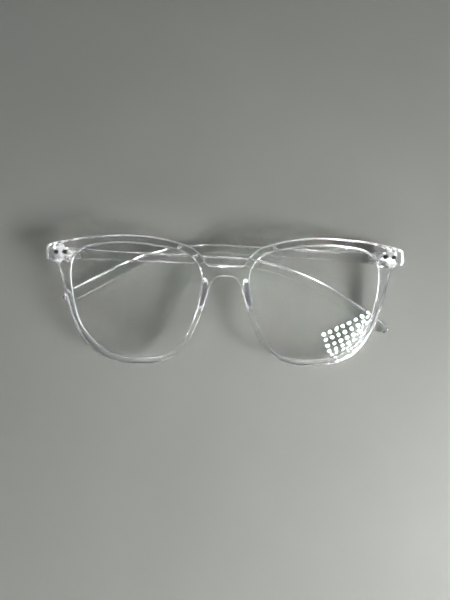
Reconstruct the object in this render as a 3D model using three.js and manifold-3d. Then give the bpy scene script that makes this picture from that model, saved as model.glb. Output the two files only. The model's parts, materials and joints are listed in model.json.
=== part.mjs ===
// Eyeglasses frame in clear moulded plastic, lying face up on its folded temples.
// Units are millimetres and +Z is up. The front is modelled in its own frame: x across the face,
// y up towards the brow, z forward out of the lenses. That frame is then tilted into the resting pose.
import * as THREE from 'three';
import { mergeVertices } from 'three/addons/utils/BufferGeometryUtils.js';
import Module from 'manifold-3d';

const wasm = await Module();
wasm.setup();

// Resting pose of the front
const REST_TILT = THREE.MathUtils.degToRad(12.22);
const REST_ROLL = THREE.MathUtils.degToRad(2.6);

// Front
const BOW_RADIUS = 400;
const FRONT_THICKNESS = 4.0;
const EDGE_ROUND = 0.55;
const CURVE_STEPS = 3;
const BRIDGE_TOP = -11.35;
const BRIDGE_BOTTOM = -15.65;
const BRIDGE_HALF = 6.7;
const BROW_CURVE = [
  [9.1, -7.9], [12.4, -4.8], [17.3, -2.8], [27, -0.6], [38.4, 0.3], [53.2, -0.3], [65.3, -2.1],
];
const END_PIECE_SIDE = 71.9;
const END_PIECE_TOP = -3.2;
const END_PIECE_BOTTOM = -10.0;
const OUTER_CURVE = [
  [67.0, -11.3], [66.2, -13.6], [64.7, -19.4], [63.0, -25.8], [60.3, -33.3], [56.2, -40.8],
  [51.4, -45.6], [46.4, -48.3], [40.5, -49.8], [33.9, -50.2], [27.5, -49.8], [22.2, -48.2],
  [18.2, -45.9], [14.7, -42.2], [12.1, -37.6], [10.1, -32.8], [8.2, -27.2], [6.4, -20.9],
  [4.9, -17.4],
];
const OPENING_CURVE = [
  [39.9, -2.95], [28, -4.0], [17.9, -6.0], [13.6, -8.3], [10.9, -11.2], [9.6, -14.5], [9.3, -18.5],
  [9.9, -24.3], [11.6, -30.3], [14.2, -36.5], [17.3, -42.1], [21.2, -45.8], [27, -47.7],
  [33.5, -48.0], [41.5, -47.2], [48.4, -44.2], [53.6, -40.1], [57.4, -34.7], [59.8, -27.8],
  [61.2, -20.8], [61.8, -14.6], [61.0, -9.0], [58.4, -6.1], [52.5, -4.0],
];

// Lenses
const LENS_CENTRE = [35.6, -25.4];
const LENS_RADIUS = 150;
const LENS_THICKNESS = 1.5;
const LENS_RISE = 1.35;
const LENS_IN_RIM = 0.5;
const FIT_GAP = 0.3;
const BLANK_RADIUS = 34;

// Nose pads
const PAD_CENTRE = [9.4, -22.4, -5.0];
const PAD_HALF = [1.5, 6.5, 4.1];
const PAD_SPLAY = THREE.MathUtils.degToRad(24);
const PAD_LEAN = THREE.MathUtils.degToRad(13);
const PAD_SEAT = -2.4;

// Hinges: pin along y, at this place behind the end piece
const PIN = [67.15, -6.6, -11.1];
const LUG_INNER = 62.4;
const LUG_OUTER = 71.5;
const LUG_TOP = -3.7;
const LUG_BOTTOM = -9.6;
const LUG_BACK = -8.5;
const CHEEK_INNER = 69.4;
const CHEEK_BACK = -10.0;
const KNUCKLE_RADIUS = 1.25;
const KNUCKLE_BORE = 0.8;
const KNUCKLE_END = 2.7;
const KNUCKLE_MIDDLE = 0.85;
const SCREW_RADIUS = 0.5;
const SCREW_HEAD_RADIUS = 1.0;
const FRONT_PLATE = { x: [-1.6, 1.9], y: 2.4, z: [1.4, 2.3] };
const FRONT_TONGUE_HALF = 1.3;
const FRONT_RIVETS = [64.0, 67.7];
const RIVET_RADIUS = 0.55;
const RIVET_HEAD_RADIUS = 0.85;
const RIVET_HEAD_HEIGHT = 0.55;
const RIVET_GAP = 0.28;

// Temples, drawn open: they run along -z from the pin, with x outwards
const TEMPLE_INNER = 1.55;
const TEMPLE_ROOT_THICKNESS = 3.2;
const TEMPLE_THICKNESS = 2.7;
const TEMPLE_BUTT = 0.8;
const TEMPLE_STRAIGHT = 38;
const TEMPLE_BOW_RADIUS = 750;
const TEMPLE_ROUND = 0.6;
const TEMPLE_STEPS = 26;
const TEMPLE_RIVETS = [3.0, 5.8];
const TEMPLE_PLATE = { x: [0.45, 1.25], y: 2.1, z: [1.6, 7.2] };
// Side view of the temple: level, then an arc down behind the ear, then straight to a rounded tip
const BEND_START = 67;
const BEND_RADIUS = 88;
const BEND_ANGLE = THREE.MathUtils.degToRad(31.7);
const TIP_START = 129;
const TIP_END = 134.6;
// Half the temple's height at each distance from the pin
const HALF_HEIGHTS = [
  [6, 2.6], [12, 2.35], [19, 2.1], [28, 1.95], [44, 1.9], [64, 1.85], [92, 1.9], [100, 2.0],
  [109, 2.2], [119, 2.35], [TIP_START, 2.45],
];

// Each side's fold, short of flat against the front, and how far its pin leans from upright
const RIGHT_FOLD_SHORT = THREE.MathUtils.degToRad(3.6);
const LEFT_FOLD_SHORT = THREE.MathUtils.degToRad(0);
const RIGHT_PIN_LEAN = THREE.MathUtils.degToRad(-3.0);
const LEFT_PIN_LEAN = THREE.MathUtils.degToRad(-1.6);

const clearPlastic = new THREE.MeshStandardMaterial({
  color: 0xe9edea, roughness: 0.07, metalness: 0, transparent: true, opacity: 0.4,
});
const lensPlastic = new THREE.MeshStandardMaterial({
  color: 0xe2ebe6, roughness: 0.03, metalness: 0, transparent: true, opacity: 0.2,
});
const padPlastic = new THREE.MeshStandardMaterial({
  color: 0xe6ebf2, roughness: 0.3, metalness: 0, transparent: true, opacity: 0.5,
});
const hingeMetal = new THREE.MeshStandardMaterial({ color: 0xb9bcbf, roughness: 0.3, metalness: 1 });
const rivetMetal = new THREE.MeshStandardMaterial({ color: 0x5f6164, roughness: 0.35, metalness: 1 });

// A closed three.js geometry as a solid that can be joined and cut.
function solid(geometry) {
  const bare = geometry.clone();
  bare.deleteAttribute('normal');
  bare.deleteAttribute('uv');
  const merged = mergeVertices(bare, 1e-4);
  return new wasm.Manifold(new wasm.Mesh({
    numProp: 3,
    vertProperties: new Float32Array(merged.attributes.position.array),
    triVerts: new Uint32Array(merged.index.array),
  }));
}

// The solid's surface as a three.js geometry.
function surface(body) {
  const mesh = body.getMesh();
  const geometry = new THREE.BufferGeometry();
  geometry.setAttribute('position', new THREE.BufferAttribute(mesh.vertProperties, 3));
  geometry.setIndex(new THREE.BufferAttribute(mesh.triVerts, 1));
  geometry.computeVertexNormals();
  return geometry;
}

// The same geometry on the other side of the face, with its faces still pointing out.
function mirrored(geometry) {
  const copy = geometry.clone();
  copy.scale(-1, 1, 1);
  const index = copy.index;
  for (let i = 0; i < index.count; i += 3) {
    const first = index.getX(i);
    index.setX(i, index.getX(i + 1));
    index.setX(i + 1, first);
  }
  copy.computeVertexNormals();
  return copy;
}

function box(x0, x1, y0, y1, z0, z1) {
  const geometry = new THREE.BoxGeometry(x1 - x0, y1 - y0, z1 - z0);
  geometry.translate((x0 + x1) / 2, (y0 + y1) / 2, (z0 + z1) / 2);
  return solid(geometry);
}

// A cylinder along y.
function post(radius, y0, y1, segments = 24) {
  const geometry = new THREE.CylinderGeometry(radius, radius, y1 - y0, segments);
  geometry.translate(0, (y0 + y1) / 2, 0);
  return geometry;
}

// How far the bowed front falls behind its middle at x.
function bowAt(x) {
  return BOW_RADIUS - Math.sqrt(BOW_RADIUS ** 2 - x ** 2);
}

// Points of an outline, moved outwards by the distance given. The outline runs anticlockwise.
function grown(points, distance) {
  return points.map((p, i) => {
    const before = points[(i + points.length - 1) % points.length];
    const after = points[(i + 1) % points.length];
    const along = after.clone().sub(before).normalize();
    return new THREE.Vector2(p.x + along.y * distance, p.y - along.x * distance);
  });
}

function vectors(list) {
  return list.map(([x, y]) => new THREE.Vector2(x, y));
}

// The right half of the front's outline, from the middle of the bridge's top round to its bottom.
function halfOutline() {
  const path = new THREE.Path();
  path.moveTo(0, BRIDGE_TOP);
  path.lineTo(BRIDGE_HALF, BRIDGE_TOP - 0.05);
  path.splineThru(vectors([...BROW_CURVE, [70.4, END_PIECE_TOP]]));
  path.quadraticCurveTo(71.7, END_PIECE_TOP - 0.3, 71.8, END_PIECE_TOP - 1.5);
  path.lineTo(END_PIECE_SIDE, END_PIECE_BOTTOM + 1.2);
  path.quadraticCurveTo(END_PIECE_SIDE, END_PIECE_BOTTOM, 70.7, END_PIECE_BOTTOM);
  path.lineTo(69.0, END_PIECE_BOTTOM - 0.1);
  path.splineThru(vectors([...OUTER_CURVE, [3.0, -15.85]]));
  path.lineTo(0, BRIDGE_BOTTOM);
  return path.getPoints(CURVE_STEPS);
}

function frontOutline() {
  const right = halfOutline();
  const left = right.slice(1, -1).reverse().map((p) => new THREE.Vector2(-p.x, p.y));
  return [...right, ...left];
}

// The lens opening on the right side, as a closed anticlockwise loop.
function openingOutline() {
  const corners = vectors(OPENING_CURVE);
  const loop = new THREE.CatmullRomCurve3(
    corners.map((p) => new THREE.Vector3(p.x, p.y, 0)), true, 'centripetal',
  );
  const points = loop.getPoints(corners.length * CURVE_STEPS).slice(0, -1);
  return points.map((p) => new THREE.Vector2(p.x, p.y));
}

function extruded(points, z0, z1, holes = [], round = 0) {
  const shape = new THREE.Shape(points);
  shape.holes = holes.map((hole) => new THREE.Path(hole));
  const geometry = new THREE.ExtrudeGeometry(shape, {
    depth: z1 - z0 - 2 * round,
    bevelEnabled: round > 0,
    bevelThickness: round,
    bevelSize: round,
    bevelOffset: -round,
    bevelSegments: 2,
    curveSegments: 1,
  });
  geometry.translate(0, 0, z0 + round);
  return geometry;
}

// A round curved lens blank, thicker by spare on both faces, placed behind the right opening.
function blank(spare, radius) {
  const half = LENS_THICKNESS / 2 + spare;
  const rings = 7;
  const profile = [];
  for (let i = 0; i <= rings; i += 1) {
    const r = (radius * i) / rings;
    profile.push(new THREE.Vector2(r, -(r ** 2) / (2 * LENS_RADIUS) - half));
  }
  for (let i = rings; i >= 0; i -= 1) {
    const r = (radius * i) / rings;
    profile.push(new THREE.Vector2(r, -(r ** 2) / (2 * LENS_RADIUS) + half));
  }
  const geometry = new THREE.LatheGeometry(profile, 40);
  geometry.rotateX(Math.PI / 2);
  geometry.rotateY(Math.asin(LENS_CENTRE[0] / BOW_RADIUS));
  geometry.translate(LENS_CENTRE[0], LENS_CENTRE[1], LENS_RISE - bowAt(LENS_CENTRE[0]));
  return solid(geometry);
}

// A lens blank cut to the opening's outline, grown by the distance given.
function cutLens(distance, spare) {
  const edge = grown(openingOutline(), distance);
  return blank(spare, BLANK_RADIUS).intersect(solid(extruded(edge, -14, 8)));
}

// A domed rivet along +y: its shank ends at y0 and its head's top is at y1.
function rivetGeometry(y0, y1) {
  const neck = y1 - RIVET_HEAD_HEIGHT;
  const profile = vectors([
    [0, y0], [RIVET_RADIUS, y0], [RIVET_RADIUS, neck], [RIVET_HEAD_RADIUS, neck],
    [RIVET_HEAD_RADIUS, y1 - 0.25], [RIVET_HEAD_RADIUS * 0.6, y1 - 0.06], [0, y1],
  ]);
  return new THREE.LatheGeometry(profile, 16);
}

// The stepped hole that a rivet stands in.
function rivetHole(y0, y1) {
  const neck = y1 - RIVET_HEAD_HEIGHT - RIVET_GAP;
  const head = RIVET_HEAD_RADIUS + RIVET_GAP;
  const shank = RIVET_RADIUS + RIVET_GAP;
  const profile = vectors([
    [0, y0], [shank, y0], [shank, neck], [head, neck], [head, y1 + 2], [0, y1 + 2],
  ]);
  return new THREE.LatheGeometry(profile, 16);
}

// Turns a piece drawn along y to lie along z, at the place given.
function alongZ(geometry, x, y) {
  geometry.rotateX(Math.PI / 2);
  geometry.translate(x, y, 0);
  return geometry;
}

function frontRivetTop(x) {
  return FRONT_THICKNESS / 2 - bowAt(x) + 0.12;
}

function frontSolid() {
  const right = openingOutline();
  const left = right.map((p) => new THREE.Vector2(-p.x, p.y)).reverse();
  const half = FRONT_THICKNESS / 2;
  const plate = extruded(frontOutline(), -half, half, [right, left], EDGE_ROUND);
  const position = plate.attributes.position;
  for (let i = 0; i < position.count; i += 1) {
    position.setZ(i, position.getZ(i) - bowAt(position.getX(i)));
  }
  const lug = box(LUG_INNER, LUG_OUTER, LUG_BOTTOM, LUG_TOP, LUG_BACK, -5.6)
    .add(box(CHEEK_INNER, LUG_OUTER, LUG_BOTTOM, LUG_TOP, CHEEK_BACK, LUG_BACK + 0.5));
  let cutters = cutLens(LENS_IN_RIM + FIT_GAP, FIT_GAP);
  for (const x of FRONT_RIVETS) {
    const hole = rivetHole(LUG_BACK - 3, frontRivetTop(x));
    cutters = cutters.add(solid(alongZ(hole, x, PIN[1])));
  }
  const body = solid(plate).add(lug).add(solid(mirrored(surface(lug))));
  return body.subtract(cutters).subtract(solid(mirrored(surface(cutters))));
}

function nosePad() {
  const geometry = new THREE.SphereGeometry(1, 20, 14);
  geometry.scale(...PAD_HALF);
  geometry.rotateY(-PAD_SPLAY);
  geometry.rotateZ(PAD_LEAN);
  geometry.translate(...PAD_CENTRE);
  return surface(solid(geometry).subtract(box(-5, 25, -40, 0, PAD_SEAT, 10)));
}

// Knuckles on a plate behind the end piece, with a tongue to the inner rivet, drawn around the pin.
function frontLeaf() {
  const { x, y, z } = FRONT_PLATE;
  const tip = FRONT_RIVETS[0] - PIN[0];
  let leaf = box(x[0], x[1], -y, y, z[0], z[1])
    .add(box(tip, x[0] + 0.5, -FRONT_TONGUE_HALF, FRONT_TONGUE_HALF, z[0], z[1]))
    .add(solid(alongZ(post(FRONT_TONGUE_HALF, z[0], z[1]), tip, 0)));
  for (const side of [-1, 1]) {
    const ends = [side * (KNUCKLE_MIDDLE + FIT_GAP), side * KNUCKLE_END].sort((a, b) => a - b);
    const neck = box(-KNUCKLE_RADIUS, KNUCKLE_RADIUS, ends[0], ends[1], 0, z[0] + 0.3);
    leaf = leaf.add(solid(post(KNUCKLE_RADIUS, ...ends))).add(neck);
  }
  leaf = leaf.subtract(solid(post(KNUCKLE_BORE, -4, 4)));
  const reach = KNUCKLE_RADIUS + FIT_GAP;
  leaf = leaf.subtract(
    solid(post(reach, -KNUCKLE_MIDDLE - FIT_GAP, KNUCKLE_MIDDLE + FIT_GAP)),
  );
  for (const at of FRONT_RIVETS) {
    const hole = post(RIVET_RADIUS + RIVET_GAP, 0.5, 3, 16);
    leaf = leaf.subtract(solid(alongZ(hole, at - PIN[0], 0)));
  }
  return surface(leaf);
}

// One knuckle and a long plate on the inner side of the temple, drawn around the pin.
function templeLeaf() {
  const { x, y, z } = TEMPLE_PLATE;
  let leaf = box(x[0], x[1], -y, y, -z[1], -z[0])
    .add(solid(post(KNUCKLE_RADIUS, -KNUCKLE_MIDDLE, KNUCKLE_MIDDLE)))
    .add(box(0, x[1], -KNUCKLE_MIDDLE, KNUCKLE_MIDDLE, -z[0] - 0.5, 0))
    .subtract(solid(post(KNUCKLE_BORE, -4, 4)));
  for (const at of TEMPLE_RIVETS) {
    const hole = post(RIVET_RADIUS + RIVET_GAP, 0, 3, 16);
    hole.rotateZ(-Math.PI / 2);
    hole.translate(0, 0, -at);
    leaf = leaf.subtract(solid(hole));
  }
  return surface(leaf);
}

function screw() {
  const profile = vectors([
    [0, -KNUCKLE_END - 0.2], [SCREW_RADIUS, -KNUCKLE_END - 0.2], [SCREW_RADIUS, KNUCKLE_END + 0.2],
    [SCREW_HEAD_RADIUS, KNUCKLE_END + 0.2], [SCREW_HEAD_RADIUS, KNUCKLE_END + 0.6],
    [SCREW_HEAD_RADIUS * 0.7, KNUCKLE_END + 0.8], [0, KNUCKLE_END + 0.8],
  ]);
  const slot = box(-1.5, 1.5, KNUCKLE_END + 0.55, KNUCKLE_END + 1, -0.15, 0.15);
  return surface(solid(new THREE.LatheGeometry(profile, 20)).subtract(slot));
}

// Height and downward slope of the temple's middle line at distance s from the pin.
function templeMiddle(s) {
  const arcEnd = BEND_START + BEND_RADIUS * Math.sin(BEND_ANGLE);
  const past = THREE.MathUtils.clamp(s, BEND_START, arcEnd) - BEND_START;
  const slope = Math.asin(past / BEND_RADIUS);
  const straight = Math.max(0, s - arcEnd) * Math.tan(BEND_ANGLE);
  return { y: -BEND_RADIUS * (1 - Math.cos(slope)) - straight, slope };
}

// A point of the temple's side view: beside the middle line at distance s, up by the amount given.
function besideMiddle(s, up) {
  const { y, slope } = templeMiddle(s);
  return new THREE.Vector2(s + Math.sin(slope) * up, y + Math.cos(slope) * up);
}

// Half the temple's height at distance s, between the listed ones.
function halfHeight(s) {
  const next = Math.max(1, HALF_HEIGHTS.findIndex(([at]) => at >= s));
  const [s0, h0] = HALF_HEIGHTS[next - 1];
  const [s1, h1] = HALF_HEIGHTS[next];
  return THREE.MathUtils.lerp(h0, h1, (s - s0) / (s1 - s0));
}

// Side outline of a temple: distance from the pin across, height up.
function templeOutline() {
  const root = HALF_HEIGHTS[0][0];
  const rootHalf = HALF_HEIGHTS[0][1];
  const stations = [];
  for (let i = 0; i <= TEMPLE_STEPS; i += 1) {
    stations.push(THREE.MathUtils.lerp(root, TIP_START, i / TEMPLE_STEPS));
  }
  const low = stations.map((s) => besideMiddle(s, -halfHeight(s)));
  const high = stations.map((s) => besideMiddle(s, halfHeight(s))).reverse();
  const tipHalf = halfHeight(TIP_START);
  const reach = (TIP_END - TIP_START) * 0.75;
  const path = new THREE.Path();
  path.moveTo(-TEMPLE_BUTT, -rootHalf);
  low.forEach((p) => path.lineTo(p.x, p.y));
  path.bezierCurveTo(
    ...besideMiddle(TIP_START + reach, -tipHalf), ...besideMiddle(TIP_END, -tipHalf * 0.7),
    ...besideMiddle(TIP_END, 0),
  );
  path.bezierCurveTo(
    ...besideMiddle(TIP_END, tipHalf * 0.7), ...besideMiddle(TIP_START + reach, tipHalf), ...high[0],
  );
  high.slice(1).forEach((p) => path.lineTo(p.x, p.y));
  path.lineTo(-TEMPLE_BUTT, rootHalf);
  return path.getPoints(6);
}

// The temple drawn open. Its outer face is flat near the hinge, then it bows in towards the head.
function templeSolid() {
  const outline = templeOutline();
  const geometry = extruded(outline, 0, TEMPLE_ROOT_THICKNESS, [], TEMPLE_ROUND);
  const position = geometry.attributes.position;
  for (let i = 0; i < position.count; i += 1) {
    const s = position.getX(i);
    const past = Math.max(0, s - TEMPLE_STRAIGHT);
    const thinned = THREE.MathUtils.smoothstep(s, 12, 60);
    const thickness = THREE.MathUtils.lerp(TEMPLE_ROOT_THICKNESS, TEMPLE_THICKNESS, thinned);
    const depth = (1 - position.getZ(i) / TEMPLE_ROOT_THICKNESS) * thickness;
    const outer = TEMPLE_INNER + TEMPLE_ROOT_THICKNESS;
    const x = outer - depth - past ** 2 / (2 * TEMPLE_BOW_RADIUS);
    position.setXYZ(i, x, position.getY(i), -s);
  }
  let body = solid(geometry);
  for (const at of TEMPLE_RIVETS) {
    const hole = rivetHole(TEMPLE_INNER - 1, TEMPLE_INNER + TEMPLE_ROOT_THICKNESS + 0.05);
    hole.rotateZ(-Math.PI / 2);
    hole.translate(0, 0, -at);
    body = body.subtract(solid(hole));
  }
  return surface(body);
}

function templeRivet(at) {
  const geometry = rivetGeometry(0.55, TEMPLE_INNER + TEMPLE_ROOT_THICKNESS + 0.05);
  geometry.rotateZ(-Math.PI / 2);
  geometry.translate(0, 0, -at);
  return surface(solid(geometry));
}

function frontRivet(x) {
  const geometry = rivetGeometry(PIN[2] + FRONT_PLATE.z[0] + 0.1, frontRivetTop(x));
  return surface(solid(alongZ(geometry, x, PIN[1])));
}

function named(name, geometry, material) {
  const mesh = new THREE.Mesh(geometry, material);
  mesh.name = name;
  return mesh;
}

const front = new THREE.Group();
front.add(named('front_frame', surface(frontSolid()), clearPlastic));

// Every piece that comes as a pair is drawn for the right side and mirrored for the left.
const SIDES = [
  { name: 'right', sign: 1, foldShort: RIGHT_FOLD_SHORT, lean: RIGHT_PIN_LEAN },
  { name: 'left', sign: -1, foldShort: LEFT_FOLD_SHORT, lean: LEFT_PIN_LEAN },
];

for (const { name, sign, foldShort, lean } of SIDES) {
  const handed = (geometry) => (sign > 0 ? geometry : mirrored(geometry));
  front.add(named(`lens_${name}`, handed(surface(cutLens(LENS_IN_RIM, 0))), lensPlastic));
  front.add(named(`nose_pad_${name}`, handed(nosePad()), padPlastic));
  FRONT_RIVETS.forEach((x, i) => {
    const place = i === 0 ? 'inner' : 'outer';
    front.add(named(`front_rivet_${place}_${name}`, handed(frontRivet(x)), rivetMetal));
  });

  const hinge = new THREE.Group();
  hinge.position.set(sign * PIN[0], PIN[1], PIN[2]);
  hinge.rotation.z = lean;
  hinge.add(named(`hinge_front_leaf_${name}`, handed(frontLeaf()), hingeMetal));
  hinge.add(named(`hinge_screw_${name}`, handed(screw()), hingeMetal));

  const arm = new THREE.Group();
  arm.rotation.y = sign * (Math.PI / 2 - foldShort);
  arm.add(named(`temple_${name}`, handed(templeSolid()), clearPlastic));
  arm.add(named(`hinge_temple_leaf_${name}`, handed(templeLeaf()), hingeMetal));
  TEMPLE_RIVETS.forEach((at, i) => {
    const place = i === 0 ? 'near' : 'far';
    arm.add(named(`temple_rivet_${place}_${name}`, handed(templeRivet(at)), rivetMetal));
  });
  hinge.add(arm);
  front.add(hinge);
}

front.rotation.set(REST_TILT, REST_ROLL, 0, 'YXZ');

// The origin is under the middle of the resting object, at table height.
const group = new THREE.Group();
group.add(front);
group.updateMatrixWorld(true);
const bounds = new THREE.Box3().setFromObject(group, true);
const middle = bounds.getCenter(new THREE.Vector3());
front.position.set(-middle.x, -middle.y, -bounds.min.z);
group.updateMatrixWorld(true);

export default group;
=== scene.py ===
"""Clear moulded eyeglasses frame lying folded on a pale table.

Shapes are in millimetres until they are placed. The lights and the camera are in metres.
"""

import json
import math

import bmesh
import bpy
import numpy as np
from mathutils import Matrix, Quaternion, Vector
from mathutils.geometry import delaunay_2d_cdt


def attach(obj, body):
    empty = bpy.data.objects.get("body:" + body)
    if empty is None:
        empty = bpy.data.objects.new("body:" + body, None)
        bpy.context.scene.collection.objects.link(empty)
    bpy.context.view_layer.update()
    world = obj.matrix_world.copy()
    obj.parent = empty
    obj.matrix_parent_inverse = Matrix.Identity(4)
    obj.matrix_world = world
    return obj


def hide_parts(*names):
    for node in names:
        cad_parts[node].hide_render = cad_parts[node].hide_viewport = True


MM = 0.001
SHARP_ANGLE = math.radians(35)
WELD_METRES = 1e-7
AXIS_RADIUS = 1e-6
CDT_EPSILON = 1e-6
INSIDE_ONLY = 1  # delaunay_2d_cdt: leave out the triangles outside the outline

# Fineness of the meshes: distances between points, and steps along an arc
FACE_SPACING = 0.8
LENS_SPACING = 1.6
FRONT_EDGE_SPACING = 0.7
TEMPLE_EDGE_SPACING = 0.6
TEMPLE_STATIONS = 150
EDGE_STEPS = 7
DOME_STEPS = 6
BUTT_STEPS = 6
TIP_STEPS = 12
ROUND_SIDES = 32
PAD_RINGS = 22
PAD_SIDES = 40

# Inner points of a face, as shares of their spacing: between rows, and clear of the edge
GRID_ROW = 0.866
GRID_CLEAR = 0.55

# Resting pose of the front and where its hinge pins are, in the front's own frame
REST_TILT = math.radians(12.22)
REST_ROLL = math.radians(2.6)
PIN = Vector((67.15, -6.6, -11.1))

# Front
BOW_RADIUS = 400.0
FRONT_HALF = 2.0
# Edge rounding: (inset, drop)
FACE_ROUND = (0.35, 0.35)
BACK_ROUND = (0.85, 1.7)
OPENING_ROUND = (0.8, 0.8)
BRIDGE_TOP = [(0.0, -11.35), (3.4, -11.36), (6.7, -11.4)]
BROW_CURVE = [
    (9.1, -7.9), (12.4, -4.8), (17.3, -2.8), (27.0, -0.6), (38.4, 0.3), (53.2, -0.3), (65.3, -2.1),
]
END_PIECE = [
    (70.3, -3.2), (71.5, -3.75), (71.8, -4.8), (71.88, -6.6), (71.9, -8.6), (71.6, -9.7),
    (70.6, -10.0), (69.0, -10.1),
]
OUTER_CURVE = [
    (67.0, -11.3), (66.2, -13.6), (64.7, -19.4), (63.0, -25.8), (60.3, -33.3), (56.2, -40.8),
    (51.4, -45.6), (46.4, -48.3), (40.5, -49.8), (33.9, -50.2), (27.5, -49.8), (22.2, -48.2),
    (18.2, -45.9), (14.7, -42.2), (12.1, -37.6), (10.1, -32.8), (8.2, -27.2), (6.4, -20.9),
    (4.9, -17.4), (3.0, -15.85), (0.0, -15.65),
]
OPENING_CURVE = [
    (39.9, -2.95), (28.0, -4.0), (17.9, -6.0), (13.6, -8.3), (10.9, -11.2), (9.6, -14.5),
    (9.3, -18.5), (9.9, -24.3), (11.6, -30.3), (14.2, -36.5), (17.3, -42.1), (21.2, -45.8),
    (27.0, -47.7), (33.5, -48.0), (41.5, -47.2), (48.4, -44.2), (53.6, -40.1), (57.4, -34.7),
    (59.8, -27.8), (61.2, -20.8), (61.8, -14.6), (61.0, -9.0), (58.4, -6.1), (52.5, -4.0),
]
# The back is LUG_DEPTH deeper behind each end piece and CHEEK_DEPTH deeper at its outer cheek.
# It deepens smoothly over these ranges of x, outwards, and of y, upwards.
LUG_DEPTH = 0.85
LUG_X = (58.5, 63.5)
LUG_Y = (-10.6, -9.7)
CHEEK_DEPTH = 1.8
CHEEK_X = (69.0, 69.8)

# Lenses
LENS_CENTRE = (35.6, -25.4)
LENS_RADIUS = 150.0
LENS_THICKNESS = 1.5
LENS_RISE = 1.35
LENS_IN_RIM = 0.5
LENS_ROUND = (0.2, 0.2)
GROOVE_DEPTH = 0.75
GROOVE_WIDTH = 1.7

# Nose pads
PAD_CENTRE = Vector((9.4, -22.4, -5.0))
PAD_HALF = (1.5, 6.5, 4.1)
PAD_SPLAY = math.radians(24)
PAD_LEAN = math.radians(13)
PAD_SEAT = -2.4

# Hinges, drawn around the pin. A plate is given by its (low, high) on each axis.
KNUCKLE_RADIUS = 1.25
KNUCKLE_BORE = 0.8
KNUCKLE_END = 2.7
KNUCKLE_MIDDLE = 0.85
KNUCKLE_GAP = 0.3
KNUCKLE_CHAMFER = 0.12
WEB_ROUND = 0.05
PLATE_ROUND = 0.18
SCREW_RADIUS = 0.5
SCREW_TIP_CHAMFER = 0.1
SCREW_END = KNUCKLE_END + 0.2
SCREW_HEAD_RADIUS = 1.0
# Height above the screw's end and share of the head's radius, up the crowned head
SCREW_HEAD = ((0.0, 1.0), (0.35, 1.0), (0.5, 0.9), (0.6, 0.7), (0.6, 0.0))
FRONT_PLATE = ((-1.6, 1.9), (-2.4, 2.4), (1.4, 2.3))
FRONT_TONGUE_HALF = 1.3
FRONT_TONGUE_OVERLAP = 0.5
FRONT_WEB_START = 0.1
FRONT_WEB_OVERLAP = 0.3
TEMPLE_PLATE = ((0.45, 1.25), (-2.1, 2.1), (-7.2, -1.6))
TEMPLE_WEB_OVERLAP = 0.5
FRONT_RIVETS = (64.0, 67.7)
TEMPLE_RIVETS = (3.0, 5.8)
RIVET_RADIUS = 0.55
RIVET_HEAD_RADIUS = 0.85
RIVET_HEAD_HEIGHT = 0.55
RIVET_DOME = 0.22
RIVET_GAP = 0.28
RIVET_HOLE_CHAMFER = 0.15
FRONT_RIVET_PROUD = 0.12
FRONT_RIVET_IN_PLATE = 0.1
TEMPLE_RIVET_PROUD = 0.05
TEMPLE_RIVET_START = 0.55

# Temples, drawn open: they run along -z from the pin, with x outwards.
# In the side view, a start or an end is a distance behind the pin.
TEMPLE_INNER = 1.55
TEMPLE_ROOT_THICKNESS = 3.2
TEMPLE_THICKNESS = 2.7
TEMPLE_THINNING = (12, 60)
TEMPLE_BUTT = 0.8
TEMPLE_STRAIGHT = 38.0
TEMPLE_BOW_RADIUS = 750.0
TEMPLE_OUTER_ROUND = (1.15, 1.6)
TEMPLE_INNER_ROUND = (0.35, 0.35)
BUTT_ROUND = 1.3
BEND_START = 67.0
BEND_RADIUS = 88.0
BEND_ANGLE = math.radians(31.7)
OUTLINE_START = 6.0
TIP_START = 129.0
TIP_END = 134.6
# Curve points of the tip: shares of its length and of its half height
TIP_SHOULDER = 0.75
TIP_NARROWING = 0.7
# Half the temple's height at each distance from the pin
HALF_HEIGHTS = [
    (-1.0, 2.6), (6.0, 2.6), (12.0, 2.35), (19.0, 2.1), (28.0, 1.95), (44.0, 1.9), (64.0, 1.85),
    (92.0, 1.9), (100.0, 2.0), (109.0, 2.2), (119.0, 2.35), (129.0, 2.45), (140.0, 2.45),
]

# Each side: sign of x, how far its temple stops short of folding flat, and how far its pin leans
SIDES = {
    "right": (1, math.radians(3.6), math.radians(-3.0)),
    "left": (-1, 0.0, math.radians(-1.6)),
}

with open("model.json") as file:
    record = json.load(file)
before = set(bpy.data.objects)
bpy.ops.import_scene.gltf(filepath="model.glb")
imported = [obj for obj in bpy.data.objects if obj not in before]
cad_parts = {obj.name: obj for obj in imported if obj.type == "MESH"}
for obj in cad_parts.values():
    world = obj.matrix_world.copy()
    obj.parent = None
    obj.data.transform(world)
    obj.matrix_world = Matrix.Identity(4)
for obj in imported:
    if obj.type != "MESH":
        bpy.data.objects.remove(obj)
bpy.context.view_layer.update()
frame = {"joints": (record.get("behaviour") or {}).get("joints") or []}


# ---------------------------------------------------------------- placing

REST_TURN = Matrix.Rotation(REST_ROLL, 4, "Y") @ Matrix.Rotation(REST_TILT, 4, "X")
RIGHT_PIN = next(Vector(j["pos_m"]) for j in frame["joints"] if j["child"] == "right_temple")
FRONT_ORIGIN = RIGHT_PIN - (REST_TURN @ PIN) * MM
FRONT_TO_ROW = Matrix.Translation(FRONT_ORIGIN) @ REST_TURN @ Matrix.Scale(MM, 4)


def front_matrix(side):
    """From the right half of the front, as drawn, to the row frame."""
    return FRONT_TO_ROW @ Matrix.Diagonal((SIDES[side][0], 1, 1, 1))


def hinge_matrix(side):
    """From a hinge piece on the front, drawn around the right pin, to the row frame."""
    sign, _, lean = SIDES[side]
    at_pin = Matrix.Translation((sign * PIN.x, PIN.y, PIN.z)) @ Matrix.Rotation(lean, 4, "Z")
    return FRONT_TO_ROW @ at_pin @ Matrix.Diagonal((sign, 1, 1, 1))


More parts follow.
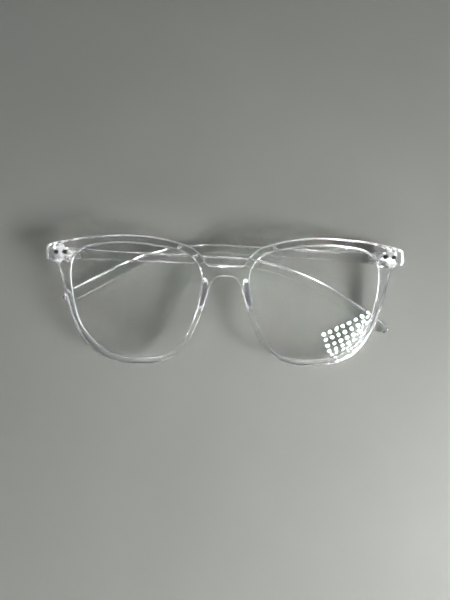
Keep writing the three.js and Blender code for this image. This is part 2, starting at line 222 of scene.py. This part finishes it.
def temple_matrix(side):
    """From a temple piece, drawn open around the right pin, to the row frame."""
    sign, fold_short, lean = SIDES[side]
    at_pin = Matrix.Translation((sign * PIN.x, PIN.y, PIN.z)) @ Matrix.Rotation(lean, 4, "Z")
    fold = Matrix.Rotation(sign * (math.pi / 2 - fold_short), 4, "Y")
    return FRONT_TO_ROW @ at_pin @ fold @ Matrix.Diagonal((sign, 1, 1, 1))


def bow_at(x):
    """How far the bowed front falls behind its middle at x."""
    return BOW_RADIUS - math.sqrt(BOW_RADIUS**2 - x**2)


def smoothstep(value, low, high):
    """0 up to low and 1 from high on, with a smooth rise between them."""
    t = min(1.0, max(0.0, (value - low) / (high - low)))
    return t * t * (3 - 2 * t)


# ---------------------------------------------------------------- outlines


def through(points, closed, spacing):
    """Points about spacing apart on a centripetal Catmull-Rom curve through the given ones."""
    p = [Vector(q) for q in points]
    count = len(p)
    if closed:
        p = [p[-1], *p, p[0], p[1]]
        spans = count
    else:
        p = [p[0] * 2 - p[1], *p, p[-1] * 2 - p[-2]]
        spans = count - 1
    out = []
    for i in range(spans):
        p0, p1, p2, p3 = p[i : i + 4]
        t0 = 0.0
        t1 = t0 + math.sqrt((p1 - p0).length)
        t2 = t1 + math.sqrt((p2 - p1).length)
        t3 = t2 + math.sqrt((p3 - p2).length)
        steps = max(2, round((p2 - p1).length / spacing))
        for k in range(steps):
            t = t1 + (t2 - t1) * k / steps
            a1 = p0 * ((t1 - t) / (t1 - t0)) + p1 * ((t - t0) / (t1 - t0))
            a2 = p1 * ((t2 - t) / (t2 - t1)) + p2 * ((t - t1) / (t2 - t1))
            a3 = p2 * ((t3 - t) / (t3 - t2)) + p3 * ((t - t2) / (t3 - t2))
            b1 = a1 * ((t2 - t) / (t2 - t0)) + a2 * ((t - t0) / (t2 - t0))
            b2 = a2 * ((t3 - t) / (t3 - t1)) + a3 * ((t - t1) / (t3 - t1))
            out.append(b1 * ((t2 - t) / (t2 - t1)) + b2 * ((t - t1) / (t2 - t1)))
    if not closed:
        out.append(p[-2])
    return out


def even(points, spacing):
    """A closed outline with its points spread evenly along it."""
    loop = np.array([*points, points[0]], float)
    gaps = np.hypot(*np.diff(loop, axis=0).T)
    along = np.concatenate([[0], np.cumsum(gaps)])
    count = round(along[-1] / spacing)
    places = np.linspace(0, along[-1], count, endpoint=False)
    return np.stack([np.interp(places, along, loop[:, i]) for i in (0, 1)], axis=1)


def eased(loop, rounds):
    """A closed outline with its unevenness smoothed away.

    Each smoothing step is followed by a slightly larger step back, so the outline doesn't shrink.
    """
    for _ in range(rounds):
        for share in (0.5, -0.52):
            middle = (np.roll(loop, 1, axis=0) + np.roll(loop, -1, axis=0)) / 2
            loop = loop + share * (middle - loop)
    return loop


def anticlockwise(loop):
    """The outline in the order that runs anticlockwise."""
    x, y = loop[:, 0], loop[:, 1]
    area = np.sum(x * np.roll(y, -1) - np.roll(x, -1) * y)
    return loop if area > 0 else loop[::-1]


def outward(loop):
    """Unit normals of an anticlockwise outline, pointing out of it."""
    along = np.roll(loop, -1, axis=0) - np.roll(loop, 1, axis=0)
    along /= np.hypot(along[:, 0], along[:, 1])[:, None]
    return np.stack([along[:, 1], -along[:, 0]], axis=1)


def front_outline():
    """Both halves of the front, seen from in front."""
    right = through(BRIDGE_TOP, closed=False, spacing=0.8)[:-1]
    around = [BRIDGE_TOP[-1], *BROW_CURVE, *END_PIECE, *OUTER_CURVE]
    right += through(around, closed=False, spacing=0.5)
    left = [Vector((-p.x, p.y)) for p in reversed(right[1:-1])]
    return anticlockwise(eased(even([*right, *left], FRONT_EDGE_SPACING), rounds=6))


def opening_outline(sign=1):
    """The rim's opening on the right (1) or the left (-1)."""
    curve = through(OPENING_CURVE, closed=True, spacing=0.4)
    loop = eased(even(curve, FRONT_EDGE_SPACING), rounds=20)
    return anticlockwise(loop * np.array([sign, 1]))


def circle(x, y, radius):
    """A round outline, anticlockwise."""
    turn = np.linspace(0, 2 * math.pi, ROUND_SIDES, endpoint=False)
    return np.stack([x + radius * np.cos(turn), y + radius * np.sin(turn)], axis=1)


def inside(points, loop):
    """Which points lie in a closed outline, by counting crossings."""
    x, y = points[:, 0][:, None], points[:, 1][:, None]
    x0, y0 = loop[:, 0], loop[:, 1]
    x1, y1 = np.roll(x0, -1), np.roll(y0, -1)
    spans = (y0 > y) != (y1 > y)
    with np.errstate(divide="ignore", invalid="ignore"):
        at = x0 + (y - y0) * (x1 - x0) / (y1 - y0)
    return (np.sum(spans & (x < at), axis=1) % 2) == 1


def fill_points(outer, holes, spacing):
    """A triangular grid of points well inside the outline and outside its holes."""
    low, high = outer.min(axis=0), outer.max(axis=0)
    rows = []
    for j, y in enumerate(np.arange(low[1], high[1], spacing * GRID_ROW)):
        x = np.arange(low[0] + (j % 2) * spacing / 2, high[0], spacing)
        rows.append(np.stack([x, np.full(len(x), y)], axis=1))
    points = np.concatenate(rows)
    keep = inside(points, outer)
    for hole in holes:
        keep &= ~inside(points, hole)
    points = points[keep]
    for loop in (outer, *holes):
        across = points[:, 0][:, None] - loop[:, 0]
        along = points[:, 1][:, None] - loop[:, 1]
        gap = np.hypot(across, along).min(axis=1)
        points = points[gap > spacing * GRID_CLEAR]
    return points


# ---------------------------------------------------------------- solids


def quarter_turn(steps):
    """Evenly spaced angles from zero to a right angle."""
    return [math.pi / 2 * k / steps for k in range(steps + 1)]


def quarter_round(inset, drop, steps=EDGE_STEPS):
    """(inset, drop) from a face over a rounded edge to the wall."""
    return [(inset * (1 - math.sin(t)), drop * (1 - math.cos(t))) for t in quarter_turn(steps)]


def slab(outer, holes, wall, top, bottom, spacing):
    """Closed mesh data of a plate: an outline with holes, between a top and a bottom face.

    wall(loop number, x, y) lists (inset, z) from the top face down to the bottom one. The inner
    points of both faces keep clear of the deeper inset, so neither face folds over.
    """
    verts, faces = [], []
    top_rings, bottom_rings, clear_of = [], [], []
    for number, loop in enumerate([outer, *holes]):
        sense = -1 if number == 0 else 1
        ends = wall(number, *loop[0])
        deeper = 0 if ends[0][0] > ends[-1][0] else -1
        rows = []
        for (x, y), (nx, ny) in zip(loop, outward(loop)):
            column = []
            for inset, z in wall(number, x, y):
                verts.append((x + sense * inset * nx, y + sense * inset * ny, z))
                column.append(len(verts) - 1)
            rows.append(column)
        for i, column in enumerate(rows):
            after = rows[(i + 1) % len(rows)]
            for k in range(len(column) - 1):
                faces.append((column[k], column[k + 1], after[k + 1], after[k]))
        top_rings.append([column[0] for column in rows])
        bottom_rings.append([column[-1] for column in rows])
        clear_of.append(np.array([verts[column[deeper]][:2] for column in rows]))

    edge_loops = [np.array([verts[i][:2] for i in ring]) for ring in top_rings]
    extra = fill_points(clear_of[0], clear_of[1:], spacing)
    flat = np.concatenate([*edge_loops, extra])
    edges, start = [], 0
    for ring in top_rings:
        edges += [(start + i, start + (i + 1) % len(ring)) for i in range(len(ring))]
        start += len(ring)
    found = delaunay_2d_cdt([Vector(p) for p in flat], edges, [], INSIDE_ONLY, CDT_EPSILON)
    triangles = np.array([[found[3][v][0] for v in tri] for tri in found[2]])
    centres = flat[triangles].mean(axis=1)
    keep = np.full(len(triangles), True)
    for hole in edge_loops[1:]:
        keep &= ~inside(centres, hole)

    first = len(verts)
    verts += [(x, y, top(x, y)) for x, y in extra]
    verts += [(x, y, bottom(x, y)) for x, y in extra]
    top_index = [i for ring in top_rings for i in ring] + list(range(first, first + len(extra)))
    bottom_index = [i for ring in bottom_rings for i in ring]
    bottom_index += list(range(first + len(extra), len(verts)))
    for a, b, c in triangles[keep]:
        faces.append((top_index[a], top_index[b], top_index[c]))
        faces.append((bottom_index[a], bottom_index[c], bottom_index[b]))
    return verts, faces


def turned(profile):
    """Closed mesh data of a profile of (radius, height) turned about y.

    A point on the axis becomes one vertex.
    """
    verts, faces, rings = [], [], []
    for radius, height in profile:
        if radius < AXIS_RADIUS:
            verts.append((0, height, 0))
            rings.append([len(verts) - 1] * ROUND_SIDES)
            continue
        ring = []
        for k in range(ROUND_SIDES):
            turn = 2 * math.pi * k / ROUND_SIDES
            verts.append((radius * math.sin(turn), height, radius * math.cos(turn)))
            ring.append(len(verts) - 1)
        rings.append(ring)
    for low, high in zip(rings, rings[1:]):
        for k in range(ROUND_SIDES):
            n = (k + 1) % ROUND_SIDES
            face = [low[k], low[n], high[n], high[k]]
            faces.append(tuple(dict.fromkeys(face)))
    return verts, faces


def knuckle(y0, y1):
    """A round sleeve along the pin with chamfered ends."""
    slope = KNUCKLE_RADIUS - KNUCKLE_CHAMFER
    return turned([
        (KNUCKLE_BORE, y0), (slope, y0), (KNUCKLE_RADIUS, y0 + KNUCKLE_CHAMFER),
        (KNUCKLE_RADIUS, y1 - KNUCKLE_CHAMFER), (slope, y1), (KNUCKLE_BORE, y1), (KNUCKLE_BORE, y0),
    ])


def washer(x, radius, z0, z1):
    """A round boss along z, at x, with chamfered ends."""
    verts, faces = turned([
        (0, z0), (radius - PLATE_ROUND, z0), (radius, z0 + PLATE_ROUND), (radius, z1 - PLATE_ROUND),
        (radius - PLATE_ROUND, z1), (0, z1),
    ])
    return [(x + px, -pz, py) for px, py, pz in verts], faces


def rounded_box(x, y, z, radius):
    """Closed mesh data of a box with rounded edges, from its (low, high) on each axis."""
    bm = bmesh.new()
    bmesh.ops.create_cube(bm, size=1)
    for v in bm.verts:
        v.co.x = x[0] if v.co.x < 0 else x[1]
        v.co.y = y[0] if v.co.y < 0 else y[1]
        v.co.z = z[0] if v.co.z < 0 else z[1]
    bmesh.ops.bevel(bm, geom=bm.edges[:], offset=radius, segments=2, profile=0.5, affect="EDGES")
    bm.verts.ensure_lookup_table()
    verts = [tuple(v.co) for v in bm.verts]
    faces = [tuple(v.index for v in f.verts) for f in bm.faces]
    bm.free()
    return verts, faces


def joined(*solids):
    """Several closed meshes as one."""
    verts, faces = [], []
    for more, polygons in solids:
        start = len(verts)
        verts += more
        faces += [tuple(i + start for i in face) for face in polygons]
    return verts, faces


def add_piece(name, solid, matrix, body, material):
    """Builds the named piece in the row frame, in place of the CAD node of that name."""
    verts, faces = solid
    mesh = bpy.data.meshes.new(name)
    mesh.from_pydata([matrix @ Vector(v) for v in verts], [], faces)
    bm = bmesh.new()
    bm.from_mesh(mesh)
    bmesh.ops.remove_doubles(bm, verts=bm.verts[:], dist=WELD_METRES)
    bmesh.ops.recalc_face_normals(bm, faces=bm.faces[:])
    bm.to_mesh(mesh)
    bm.free()
    mesh.shade_smooth()
    mesh.set_sharp_from_angle(angle=SHARP_ANGLE)
    mesh.materials.append(material)
    piece = bpy.data.objects.new("look_" + name, mesh)
    bpy.context.scene.collection.objects.link(piece)
    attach(piece, body)
    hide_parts(name)


# ---------------------------------------------------------------- front


def lens_height(x, y):
    """Height of the lens's middle surface in the front's frame, at x, y on the right side."""
    turn = math.asin(LENS_CENTRE[0] / BOW_RADIUS)
    dx, dy = x - LENS_CENTRE[0], y - LENS_CENTRE[1]
    centre = LENS_RISE - bow_at(LENS_CENTRE[0])
    return centre - dx * math.tan(turn) - (dx * dx + dy * dy) / (2 * LENS_RADIUS)


def front_face(x, _y):
    """The bowed face of the front."""
    return FRONT_HALF - bow_at(x)


def back_face(x, y):
    """The back of the front, thicker behind the end pieces and thickest at their outer cheeks."""
    out = abs(x)
    level = smoothstep(y, *LUG_Y)
    lug = LUG_DEPTH * smoothstep(out, *LUG_X) * level
    cheek = (CHEEK_DEPTH - LUG_DEPTH) * smoothstep(out, *CHEEK_X) * level
    return -FRONT_HALF - bow_at(x) - lug - cheek


def edge_wall(top, bottom, upper, lower):
    """The wall between two faces. Each edge is rounded by (inset, drop)."""
    rows = [(inset, top - drop) for inset, drop in quarter_round(*upper)]
    return rows + [(inset, bottom + drop) for inset, drop in reversed(quarter_round(*lower))]


def groove_wall(x, y):
    """An opening's wall: rounded edges with the lens groove between them."""
    top, bottom = front_face(x, y), back_face(x, y)
    middle = lens_height(abs(x), y)
    upper = min(middle + GROOVE_WIDTH / 2, top - FACE_ROUND[1])
    lower = max(middle - GROOVE_WIDTH / 2, bottom + OPENING_ROUND[1])
    rows = edge_wall(top, bottom, FACE_ROUND, OPENING_ROUND)
    groove = [(0, upper), (GROOVE_DEPTH, upper), (GROOVE_DEPTH, lower), (0, lower)]
    return rows[: EDGE_STEPS + 1] + groove + rows[EDGE_STEPS + 1 :]


def rivet_wall(top, bottom, head_top):
    """A stepped hole: wide for the rivet's head, narrow for its shank."""
    step = head_top - RIVET_HEAD_HEIGHT - RIVET_GAP
    narrow = RIVET_RADIUS - RIVET_HEAD_RADIUS
    rim = [(RIVET_HOLE_CHAMFER, top), (0, top - RIVET_HOLE_CHAMFER)]
    return rim + [(0, step), (narrow, step), (narrow, bottom)]


def front_solid():
    """The one-piece front, with openings grooved for the lenses and holes for the rivets."""
    openings = [opening_outline(), opening_outline(-1)]
    head = RIVET_HEAD_RADIUS + RIVET_GAP
    rivets = [circle(s * x, PIN.y, head) for s in (1, -1) for x in FRONT_RIVETS]

    def wall(number, x, y):
        top, bottom = front_face(x, y), back_face(x, y)
        if number == 0:
            return edge_wall(top, bottom, FACE_ROUND, BACK_ROUND)
        if number <= len(openings):
            return groove_wall(x, y)
        return rivet_wall(top, bottom, top + FRONT_RIVET_PROUD)

    holes = [*openings, *rivets]
    return slab(front_outline(), holes, wall, front_face, back_face, FACE_SPACING)


def lens_solid():
    """A curved lens that reaches into the groove of its rim."""
    loop = opening_outline()
    edge = anticlockwise(loop + outward(loop) * LENS_IN_RIM)
    half = LENS_THICKNESS / 2

    def top(x, y):
        return lens_height(x, y) + half

    def bottom(x, y):
        return lens_height(x, y) - half

    def wall(_, x, y):
        return edge_wall(top(x, y), bottom(x, y), LENS_ROUND, LENS_ROUND)

    return slab(edge, [], wall, top, bottom, LENS_SPACING)


def pad_solid():
    """The back part of a leaning egg shape: the rest's face to the nose."""
    turn = Matrix.Rotation(PAD_LEAN, 3, "Z") @ Matrix.Rotation(-PAD_SPLAY, 3, "Y")
    verts, faces = [], []
    for i in range(PAD_RINGS + 1):
        polar = math.pi * i / PAD_RINGS
        ring = math.sin(polar)
        for k in range(PAD_SIDES):
            around = 2 * math.pi * k / PAD_SIDES
            p = Vector((ring * math.cos(around), math.cos(polar), ring * math.sin(around)))
            p = turn @ Vector(a * b for a, b in zip(p, PAD_HALF)) + PAD_CENTRE
            p.z = min(p.z, PAD_SEAT)
            verts.append(tuple(p))
    for i in range(PAD_RINGS):
        this, after = i * PAD_SIDES, (i + 1) * PAD_SIDES
        for k in range(PAD_SIDES):
            n = (k + 1) % PAD_SIDES
            faces.append((this + k, this + n, after + n, after + k))
    return verts, faces


# ---------------------------------------------------------------- hinges


def rivet_solid(y0, y1):
    """A round shank along y from y0, with a low domed head up to y1."""
    neck = y1 - RIVET_HEAD_HEIGHT
    dome = [
        (RIVET_HEAD_RADIUS * math.cos(t), y1 - RIVET_DOME + RIVET_DOME * math.sin(t))
        for t in quarter_turn(DOME_STEPS)[:-1]
    ]
    shank = [(0, y0), (RIVET_RADIUS, y0), (RIVET_RADIUS, neck), (RIVET_HEAD_RADIUS, neck)]
    return turned([*shank, *dome, (0, y1)])


def front_leaf_solid():
    """A plate with a tongue to the inner rivet, and the two outer knuckles on webs."""
    (x0, x1), (y0, y1), (z0, z1) = FRONT_PLATE
    tip = FRONT_RIVETS[0] - PIN.x
    tongue_x = (tip, x0 + FRONT_TONGUE_OVERLAP)
    tongue_y = (-FRONT_TONGUE_HALF, FRONT_TONGUE_HALF)
    web_z = (FRONT_WEB_START, z0 + FRONT_WEB_OVERLAP)
    pieces = [
        rounded_box((x0, x1), (y0, y1), (z0, z1), PLATE_ROUND),
        rounded_box(tongue_x, tongue_y, (z0, z1), PLATE_ROUND),
        washer(tip, FRONT_TONGUE_HALF, z0, z1),
    ]
    for side in (-1, 1):
        ends = sorted((side * (KNUCKLE_MIDDLE + KNUCKLE_GAP), side * KNUCKLE_END))
        pieces.append(knuckle(*ends))
        for web in ((-KNUCKLE_RADIUS, -KNUCKLE_BORE), (KNUCKLE_BORE, KNUCKLE_RADIUS)):
            pieces.append(rounded_box(web, ends, web_z, WEB_ROUND))
    return joined(*pieces)


def temple_leaf_solid():
    """A plate on the temple's inner side, and the middle knuckle on a web."""
    x, y, z = TEMPLE_PLATE
    ends = (-KNUCKLE_MIDDLE, KNUCKLE_MIDDLE)
    web = rounded_box((KNUCKLE_BORE, x[1]), ends, (z[1] - TEMPLE_WEB_OVERLAP, 0), WEB_ROUND)
    return joined(rounded_box(x, y, z, PLATE_ROUND), knuckle(*ends), web)


def screw_solid():
    """A plain shank through the three knuckles, with a crowned head above them."""
    tip = SCREW_RADIUS - SCREW_TIP_CHAMFER
    shank = [
        (0, -SCREW_END), (tip, -SCREW_END), (SCREW_RADIUS, SCREW_TIP_CHAMFER - SCREW_END),
        (SCREW_RADIUS, SCREW_END),
    ]
    head = [(SCREW_HEAD_RADIUS * share, SCREW_END + up) for up, share in SCREW_HEAD]
    return turned(shank + head)


# ---------------------------------------------------------------- temples


def middle_line(s):
    """Height and downward slope of the temple's middle line at distance s from the pin."""
    arc_end = BEND_START + BEND_RADIUS * math.sin(BEND_ANGLE)
    past = min(max(s, BEND_START), arc_end) - BEND_START
    slope = math.asin(past / BEND_RADIUS)
    straight = max(0.0, s - arc_end) * math.tan(BEND_ANGLE)
    return -BEND_RADIUS * (1 - math.cos(slope)) - straight, slope


def beside_middle(s, up):
    """A point of the temple's side view, up from the middle line at distance s."""
    y, slope = middle_line(s)
    return Vector((s + math.sin(slope) * up, y + math.cos(slope) * up))


def half_height(s):
    """Half the temple's height at distance s from the pin."""
    return float(np.interp(s, *zip(*HALF_HEIGHTS)))


def temple_tip():
    """The temple's rounded end, as two curves that meet at the very tip."""
    tip = half_height(TIP_START)
    shoulder = TIP_START + (TIP_END - TIP_START) * TIP_SHOULDER
    corners = [
        beside_middle(TIP_START, -tip), beside_middle(shoulder, -tip),
        beside_middle(TIP_END, -tip * TIP_NARROWING), beside_middle(TIP_END, 0),
        beside_middle(TIP_END, tip * TIP_NARROWING), beside_middle(shoulder, tip),
        beside_middle(TIP_START, tip),
    ]
    points = []
    for a, b, c, d in (corners[:4], corners[3:]):
        for k in range(1, TIP_STEPS + 1):
            t = k / TIP_STEPS
            u = 1 - t
            points.append(a * u**3 + b * 3 * u * u * t + c * 3 * u * t * t + d * t**3)
    return points[:-1]


def temple_butt():
    """The temple's end at the hinge, square with rounded corners."""
    root = half_height(0)
    corner = quarter_round(BUTT_ROUND, BUTT_ROUND, BUTT_STEPS)
    upper = [Vector((along - TEMPLE_BUTT, root - down)) for along, down in corner]
    lower = [Vector((along - TEMPLE_BUTT, down - root)) for along, down in reversed(corner)]
    return upper + lower


def temple_outline():
    """Side view of the temple: level, down behind the ear in an arc, then straight to its tip."""
    stations = np.linspace(OUTLINE_START, TIP_START, TEMPLE_STATIONS)
    low = [beside_middle(s, -half_height(s)) for s in stations]
    high = [beside_middle(s, half_height(s)) for s in reversed(stations)]
    around = [*low, *temple_tip(), *high, *temple_butt()]
    return anticlockwise(even(around, TEMPLE_EDGE_SPACING))


def temple_solid():
    """The temple drawn open. Its outer face is flat near the hinge, then bows in to the head."""
    holes = [circle(at, 0, RIVET_HEAD_RADIUS + RIVET_GAP) for at in TEMPLE_RIVETS]
    root = TEMPLE_ROOT_THICKNESS

    def wall(number, _x, _y):
        if number == 0:
            return edge_wall(root, 0, TEMPLE_OUTER_ROUND, TEMPLE_INNER_ROUND)
        return rivet_wall(root, 0, root)

    def outer_face(_x, _y):
        return root

    def inner_face(_x, _y):
        return 0.0

    verts, faces = slab(temple_outline(), holes, wall, outer_face, inner_face, FACE_SPACING)
    placed = []
    for s, up, z in verts:
        thickness = root - (root - TEMPLE_THICKNESS) * smoothstep(s, *TEMPLE_THINNING)
        depth = (1 - z / root) * thickness
        bow = max(0.0, s - TEMPLE_STRAIGHT) ** 2 / (2 * TEMPLE_BOW_RADIUS)
        placed.append((TEMPLE_INNER + root - depth - bow, up, -s))
    return placed, faces


# ---------------------------------------------------------------- materials


class Nodes:
    """A material's node tree, with short ways to add to it."""

    def __init__(self, name):
        self.material = bpy.data.materials.new(name)
        self.material.use_nodes = True
        self.tree = self.material.node_tree
        self.shader = self.tree.nodes["Principled BSDF"]
        self.place = self.add("ShaderNodeTexCoord").outputs["Object"]

    def add(self, kind, **inputs):
        """A node with the given input values. An underscore stands for a space."""
        node = self.tree.nodes.new(kind)
        for key, value in inputs.items():
            node.inputs[key.replace("_", " ")].default_value = value
        return node

    def link(self, output, target):
        self.tree.links.new(output, target)

    def noise(self, scale, detail=3.0):
        """Noise that is fixed to the object."""
        node = self.add("ShaderNodeTexNoise", Scale=scale, Detail=detail)
        self.link(self.place, node.inputs["Vector"])
        return node.outputs["Fac"]

    def color(self, factor, dark, light):
        """Links a base colour from dark to light as the noise goes from 0.3 to 0.7."""
        node = self.tree.nodes.new("ShaderNodeValToRGB")
        for element, position, tone in zip(node.color_ramp.elements, (0.3, 0.7), (dark, light)):
            element.position = position
            element.color = (*tone, 1)
        self.link(factor, node.inputs["Fac"])
        self.link(node.outputs["Color"], self.shader.inputs["Base Color"])

    def roughness(self, factor, low, high, start=0.3, end=0.7):
        """Links a roughness from low to high as the noise goes from start to end."""
        node = self.add("ShaderNodeMapRange", From_Min=start, From_Max=end, To_Min=low, To_Max=high)
        self.link(factor, node.inputs["Value"])
        self.link(node.outputs["Result"], self.shader.inputs["Roughness"])

    def bump(self, height, strength, distance):
        """Links a bump. The distance is in metres."""
        node = self.add("ShaderNodeBump", Strength=strength, Distance=distance)
        self.link(height, node.inputs["Height"])
        self.link(node.outputs["Normal"], self.shader.inputs["Normal"])

    def set(self, **inputs):
        """Sets values on the shader itself."""
        for key, value in inputs.items():
            self.shader.inputs[key.replace("_", " ")].default_value = value


def clear_plastic():
    """Crystal-clear moulded plastic: glossy, with faint flow waviness and handling marks."""
    n = Nodes("clear_plastic")
    n.set(Transmission_Weight=1.0, IOR=1.49)
    n.color(n.noise(120), dark=(0.985, 0.99, 0.99), light=(1.0, 1.0, 1.0))
    n.roughness(n.noise(90, 4), low=0.0, high=0.03, start=0.58, end=0.72)
    n.bump(n.noise(160, 1), 0.01, 0.0004)
    return n.material


def lens_plastic():
    """Thin clear lens with a faint green coating and slight smears."""
    n = Nodes("lens")
    n.set(Transmission_Weight=1.0, IOR=1.5, Specular_Tint=(0.82, 1.0, 0.92, 1))
    n.color(n.noise(60), dark=(0.97, 0.985, 0.98), light=(0.99, 1.0, 0.995))
    n.roughness(n.noise(60, 5), low=0.0, high=0.03, start=0.6, end=0.75)
    return n.material


def pad_plastic():
    """Clear soft plastic, a little cloudy."""
    n = Nodes("pad_plastic")
    n.set(Transmission_Weight=1.0, IOR=1.45)
    n.color(n.noise(500), dark=(0.93, 0.95, 1.0), light=(0.99, 0.99, 1.0))
    n.roughness(n.noise(1500, 5), low=0.1, high=0.25)
    n.bump(n.noise(2500, 2), 0.1, 0.0002)
    return n.material


def metal(name, dark, light, rough_low, rough_high):
    """Plain metal with a fine, uneven satin finish."""
    n = Nodes(name)
    n.set(Metallic=1.0)
    n.color(n.noise(1800, 5), dark, light)
    n.roughness(n.noise(4000, 4), rough_low, rough_high)
    n.bump(n.noise(6000, 2), 0.1, 0.0001)
    return n.material


def table_finish():
    """Pale satin laminate with a very fine grain."""
    n = Nodes("table")
    n.set(Specular_IOR_Level=0.35)
    n.color(n.noise(14, 3), dark=(0.215, 0.22, 0.204), light=(0.23, 0.235, 0.218))
    n.roughness(n.noise(900, 4), low=0.5, high=0.62)
    n.bump(n.noise(3000, 3), 0.05, 0.0002)
    return n.material


CLEAR = clear_plastic()
LENS = lens_plastic()
PAD = pad_plastic()
HINGE = metal("hinge_metal", (0.80, 0.81, 0.82), (0.95, 0.95, 0.94), 0.4, 0.62)
STEEL = metal("leaf_steel", (0.6, 0.61, 0.61), (0.74, 0.74, 0.74), 0.18, 0.34)
RIVET = metal("rivet_metal", (0.02, 0.02, 0.022), (0.05, 0.05, 0.05), 0.4, 0.6)


# ---------------------------------------------------------------- the object

FRONT = "front"
add_piece("front_frame", front_solid(), FRONT_TO_ROW, FRONT, CLEAR)
for side in SIDES:
    arm = side + "_temple"
    add_piece("lens_" + side, lens_solid(), front_matrix(side), FRONT, LENS)
    add_piece("nose_pad_" + side, pad_solid(), front_matrix(side), FRONT, PAD)
    for place, x in zip(("inner", "outer"), FRONT_RIVETS):
        stand = Matrix.Translation((x, PIN.y, 0)) @ Matrix.Rotation(math.pi / 2, 4, "X")
        back = PIN.z + FRONT_PLATE[2][0] + FRONT_RIVET_IN_PLATE
        rivet = rivet_solid(back, front_face(x, 0) + FRONT_RIVET_PROUD)
        name = f"front_rivet_{place}_{side}"
        add_piece(name, rivet, front_matrix(side) @ stand, FRONT, RIVET)
    hinge = hinge_matrix(side)
    add_piece("hinge_front_leaf_" + side, front_leaf_solid(), hinge, FRONT, HINGE)
    add_piece("hinge_screw_" + side, screw_solid(), hinge, FRONT, HINGE)
    folded = temple_matrix(side)
    add_piece("temple_" + side, temple_solid(), folded, arm, CLEAR)
    add_piece("hinge_temple_leaf_" + side, temple_leaf_solid(), folded, arm, STEEL)
    for place, s in zip(("near", "far"), TEMPLE_RIVETS):
        stand = Matrix.Translation((0, 0, -s)) @ Matrix.Rotation(-math.pi / 2, 4, "Z")
        outside = TEMPLE_INNER + TEMPLE_ROOT_THICKNESS + TEMPLE_RIVET_PROUD
        rivet = rivet_solid(TEMPLE_RIVET_START, outside)
        name = f"temple_rivet_{place}_{side}"
        add_piece(name, rivet, folded @ stand, arm, RIVET)


# ---------------------------------------------------------------- table, light and camera

scene = bpy.context.scene

bpy.ops.mesh.primitive_plane_add(size=4.0, location=(0, 0, 0))
table = bpy.context.object
table.name = "table"
table.data.materials.append(table_finish())


def bulbs(light, columns, rows, radius):
    """Splits a softbox into rows of round bulbs. Their radius is a share of their spacing.

    The power of the whole softbox is shared among them.
    """
    light.use_nodes = True
    tree = light.node_tree
    place = tree.nodes.new("ShaderNodeNewGeometry").outputs["Parametric"]
    for operation, amount, result in (
        ("MULTIPLY", (columns, rows, 0), "Vector"),
        ("FRACTION", (0, 0, 0), "Vector"),
        ("SUBTRACT", (0.5, 0.5, 0), "Vector"),
        ("LENGTH", (0, 0, 0), "Value"),
    ):
        step = tree.nodes.new("ShaderNodeVectorMath")
        step.operation = operation
        step.inputs[1].default_value = amount
        tree.links.new(place, step.inputs[0])
        place = step.outputs[result]
    lit = tree.nodes.new("ShaderNodeMath")
    lit.operation = "LESS_THAN"
    lit.inputs[1].default_value = radius
    tree.links.new(place, lit.inputs[0])
    strength = tree.nodes.new("ShaderNodeMath")
    strength.operation = "MULTIPLY"
    strength.inputs[1].default_value = 1 / (math.pi * radius**2)
    tree.links.new(lit.outputs["Value"], strength.inputs[0])
    tree.links.new(strength.outputs["Value"], tree.nodes["Emission"].inputs["Strength"])


def softbox(name, location, size, power, aim=(0, 0, 0.01), roll=0.0):
    """A rectangular light, turned about its aim by roll degrees. Metres and watts."""
    light = bpy.data.lights.new(name, "AREA")
    light.shape = "RECTANGLE"
    light.size, light.size_y = size
    light.energy = power
    lamp = bpy.data.objects.new(name, light)
    lamp.location = location
    lamp.rotation_mode = "QUATERNION"
    facing = (Vector(location) - Vector(aim)).to_track_quat("Z", "Y")
    lamp.rotation_quaternion = facing @ Quaternion((0, 0, 1), math.radians(roll))
    scene.collection.objects.link(lamp)
    return lamp


key = softbox(
    "key", location=(0.35, -0.207, 0.315), size=(0.14, 0.215), power=1.5, aim=(0.05, -0.08, 0), roll=53
)
key.data.spread = math.radians(110)
bulbs(key.data, columns=6, rows=8, radius=0.22)
softbox("fill", location=(-0.02, -0.62, 0.42), size=(0.3, 0.2), power=1.95)

# The world glows along the horizon, which lights the clear edges from the side. It dims as a
# direction's z goes from 0.08 to 0.26.
HORIZON = {"From Min": 0.08, "From Max": 0.26, "To Min": 4.5, "To Max": 0.12}
world = bpy.data.worlds.new("studio")
world.use_nodes = True
sky = world.node_tree
direction = sky.nodes.new("ShaderNodeTexCoord")
upward = sky.nodes.new("ShaderNodeSeparateXYZ")
sky.links.new(direction.outputs["Generated"], upward.inputs["Vector"])
glow = sky.nodes.new("ShaderNodeMapRange")
glow.interpolation_type = "SMOOTHSTEP"
for socket, value in HORIZON.items():
    glow.inputs[socket].default_value = value
sky.links.new(upward.outputs["Z"], glow.inputs["Value"])
background = sky.nodes["Background"]
background.inputs["Color"].default_value = (0.97, 0.98, 1.0, 1)
sky.links.new(glow.outputs["Result"], background.inputs["Strength"])
scene.world = world
scene.view_settings.view_transform = "Standard"

# Light has to pass many clear surfaces unblurred and at full strength
scene.cycles.max_bounces = 24
scene.cycles.transmission_bounces = 24
scene.cycles.glossy_bounces = 16
scene.cycles.sample_clamp_indirect = 0
scene.cycles.blur_glossy = 0

# The photo's viewpoint, in metres and degrees
view = bpy.data.cameras.new("camera")
view.sensor_width = 36
view.lens = 27
view.clip_start = 0.01
view.clip_end = 20
camera = bpy.data.objects.new("camera", view)
camera.location = (0.00594, -0.03498, 0.18830)
camera.rotation_euler = [math.radians(a) for a in (11.35, 1.79, 0.75)]
scene.collection.objects.link(camera)
scene.camera = camera
